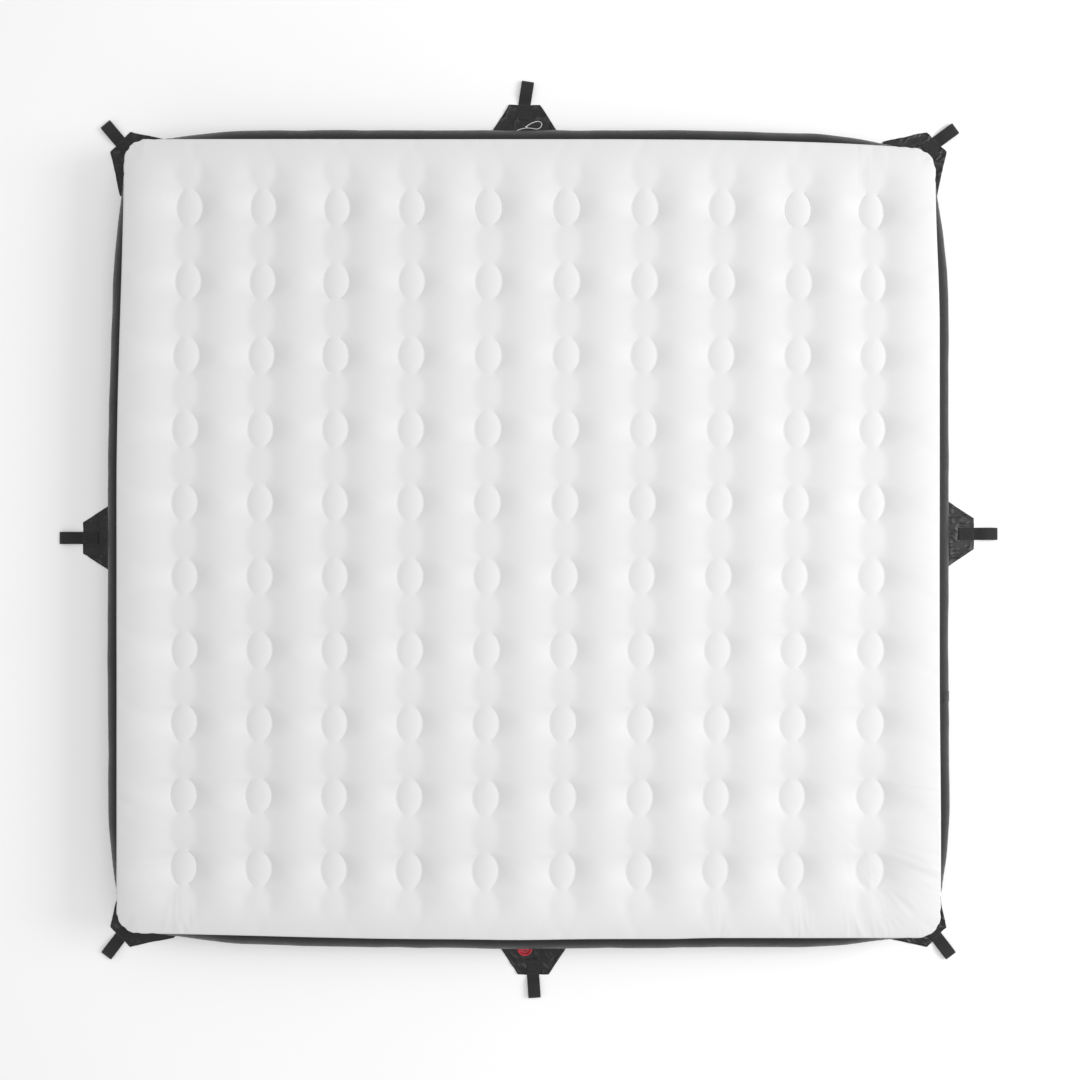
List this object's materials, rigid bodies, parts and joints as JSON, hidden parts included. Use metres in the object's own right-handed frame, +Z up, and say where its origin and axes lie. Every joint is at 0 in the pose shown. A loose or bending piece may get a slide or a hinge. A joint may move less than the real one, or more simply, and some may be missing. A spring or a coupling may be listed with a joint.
{
  "type": "inflatable sleeping pad",
  "caption": "Wide inflated camping sleeping pad with a dimpled white top, a bulging black side wall, tie-down tabs with webbing loops and a capped valve.",
  "frame": {"origin": "on the floor, under the middle of the pad with its tabs and loops laid out flat", "axes": "+Z up; +X to the right along the pad's longer side; +Y to the back, away from the wall with the valve"},
  "size_m": [2.298, 2.2485, 0.15],
  "materials": {
    "top_fabric": "white TPU-laminated polyester, soft sheen",
    "base_fabric": "black laminated fabric",
    "wall_fabric": "black laminated fabric, satin",
    "seam_tape": "black welded tape",
    "beam_film": "translucent grey film",
    "tab_fabric": "black coated fabric, creased and a little glossy",
    "webbing": "black woven webbing",
    "thread": "black thread",
    "valve_black": "soft black plastic",
    "valve_red": "red moulded plastic",
    "flap_silicone": "grey silicone",
    "white_cord": "thin white braided cord"
  },
  "bodies": {
    "pad": {"top_sheet": "top_fabric", "side_wall": "wall_fabric", "bottom_sheet": "base_fabric", "wall_lap_strip": "wall_fabric", "top_seam_tape": "seam_tape", "bottom_seam_tape": "seam_tape", "beam_row_01": "beam_film", "beam_row_02": "beam_film", "beam_row_03": "beam_film", "beam_row_04": "beam_film", "beam_row_05": "beam_film", "beam_row_06": "beam_film", "beam_row_07": "beam_film", "beam_row_08": "beam_film", "beam_row_09": "beam_film", "beam_row_10": "beam_film", "tab_hems": "tab_fabric", "valve_flange": "valve_black", "valve_neck": "valve_red", "valve_keeper": "valve_red"},
    "valve_cap": {"valve_cap": "valve_red", "cap_plug": "valve_black"},
    "check_flap": {"check_flap": "flap_silicone"},
    "left_tab": {"left_tab": "tab_fabric", "left_webbing_tail": "webbing", "left_stitching": "thread"},
    "left_loop": {"left_loop": "webbing"},
    "right_tab": {"right_tab": "tab_fabric", "right_webbing_tail": "webbing", "right_stitching": "thread"},
    "right_loop": {"right_loop": "webbing"},
    "back_tab": {"back_tab": "tab_fabric", "back_webbing_tail": "webbing", "back_stitching": "thread", "keeper_cord": "white_cord", "cord_knot": "white_cord", "cord_tack": "thread"},
    "back_loop": {"back_loop": "webbing"},
    "front_tab": {"front_tab": "tab_fabric", "front_webbing_tail": "webbing", "front_stitching": "thread"},
    "front_loop": {"front_loop": "webbing"},
    "back_left_tab": {"back_left_tab": "tab_fabric", "back_left_webbing_tail": "webbing", "back_left_stitching": "thread"},
    "back_left_loop": {"back_left_loop": "webbing"},
    "back_right_tab": {"back_right_tab": "tab_fabric", "back_right_webbing_tail": "webbing", "back_right_stitching": "thread"},
    "back_right_loop": {"back_right_loop": "webbing"},
    "front_left_tab": {"front_left_tab": "tab_fabric", "front_left_webbing_tail": "webbing", "front_left_stitching": "thread"},
    "front_left_loop": {"front_left_loop": "webbing"},
    "front_right_tab": {"front_right_tab": "tab_fabric", "front_right_webbing_tail": "webbing", "front_right_stitching": "thread"},
    "front_right_loop": {"front_right_loop": "webbing"}
  },
  "joints": [
    {"name": "left_tab_fold", "type": "hinge", "parent": "pad", "child": "left_tab", "pos_m": [-1.009, 0.004, 0.0015], "axis": [0, 1, 0], "range_deg": [0, 50]},
    {"name": "left_loop_fold", "type": "hinge", "parent": "left_tab", "child": "left_loop", "pos_m": [-1.0935, 0.004, 0.003], "axis": [0, 1, 0], "range_deg": [0, 90]},
    {"name": "right_tab_fold", "type": "hinge", "parent": "pad", "child": "right_tab", "pos_m": [1.009, 0.014, 0.0015], "axis": [0, -1, 0], "range_deg": [0, 50]},
    {"name": "right_loop_fold", "type": "hinge", "parent": "right_tab", "child": "right_loop", "pos_m": [1.0935, 0.014, 0.003], "axis": [0, -1, 0], "range_deg": [0, 90]},
    {"name": "back_tab_fold", "type": "hinge", "parent": "pad", "child": "back_tab", "pos_m": [-0.01, 0.983, 0.0015], "axis": [1, 0, 0], "range_deg": [0, 50]},
    {"name": "back_loop_fold", "type": "hinge", "parent": "back_tab", "child": "back_loop", "pos_m": [-0.00961, 1.06747, 0.003], "axis": [0.9877, -0.1564, 0], "range_deg": [0, 90]},
    {"name": "front_tab_fold", "type": "hinge", "parent": "pad", "child": "front_tab", "pos_m": [0.011, -1.0243, 0.0015], "axis": [-1, 0, 0], "range_deg": [0, 50]},
    {"name": "front_loop_fold", "type": "hinge", "parent": "front_tab", "child": "front_loop", "pos_m": [0.01117, -1.06749, 0.003], "axis": [-0.9976, -0.0698, 0], "range_deg": [0, 90]},
    {"name": "back_left_tab_fold", "type": "hinge", "parent": "pad", "child": "back_left_tab", "pos_m": [-0.9602, 0.9342, 0.0015], "axis": [0.7071, 0.7071, 0], "range_deg": [0, 36]},
    {"name": "back_left_loop_fold", "type": "hinge", "parent": "back_left_tab", "child": "back_left_loop", "pos_m": [-1.00141, 0.97572, 0.003], "axis": [0.766, 0.6428, 0], "range_deg": [0, 90]},
    {"name": "back_right_tab_fold", "type": "hinge", "parent": "pad", "child": "back_right_tab", "pos_m": [0.9602, 0.9342, 0.0015], "axis": [0.7071, -0.7071, 0], "range_deg": [0, 36]},
    {"name": "back_right_loop_fold", "type": "hinge", "parent": "back_right_tab", "child": "back_right_loop", "pos_m": [1.00182, 0.97527, 0.003], "axis": [0.5878, -0.809, 0], "range_deg": [0, 90]},
    {"name": "front_left_tab_fold", "type": "hinge", "parent": "pad", "child": "front_left_tab", "pos_m": [-0.9602, -0.9342, 0.0015], "axis": [-0.7071, 0.7071, 0], "range_deg": [0, 36]},
    {"name": "front_left_loop_fold", "type": "hinge", "parent": "front_left_tab", "child": "front_left_loop", "pos_m": [-1.00131, -0.9758, 0.003], "axis": [-0.7986, 0.6018, 0], "range_deg": [0, 90]},
    {"name": "front_right_tab_fold", "type": "hinge", "parent": "pad", "child": "front_right_tab", "pos_m": [0.9602, -0.9342, 0.0015], "axis": [-0.7071, -0.7071, 0], "range_deg": [0, 36]},
    {"name": "front_right_loop_fold", "type": "hinge", "parent": "front_right_tab", "child": "front_right_loop", "pos_m": [1.00131, -0.9758, 0.003], "axis": [-0.7986, -0.6018, 0], "range_deg": [0, 90]},
    {"name": "valve_cap_hinge", "type": "hinge", "parent": "pad", "child": "valve_cap", "pos_m": [-0.009, -0.9661, 0.01157], "axis": [-1, 0, 0], "range_deg": [0, 68.67]},
    {"name": "check_flap_hinge", "type": "hinge", "parent": "pad", "child": "check_flap", "pos_m": [-0.009, -0.97176, 0.05659], "axis": [1, 0, 0], "range_deg": [0, 40]}
  ]
}
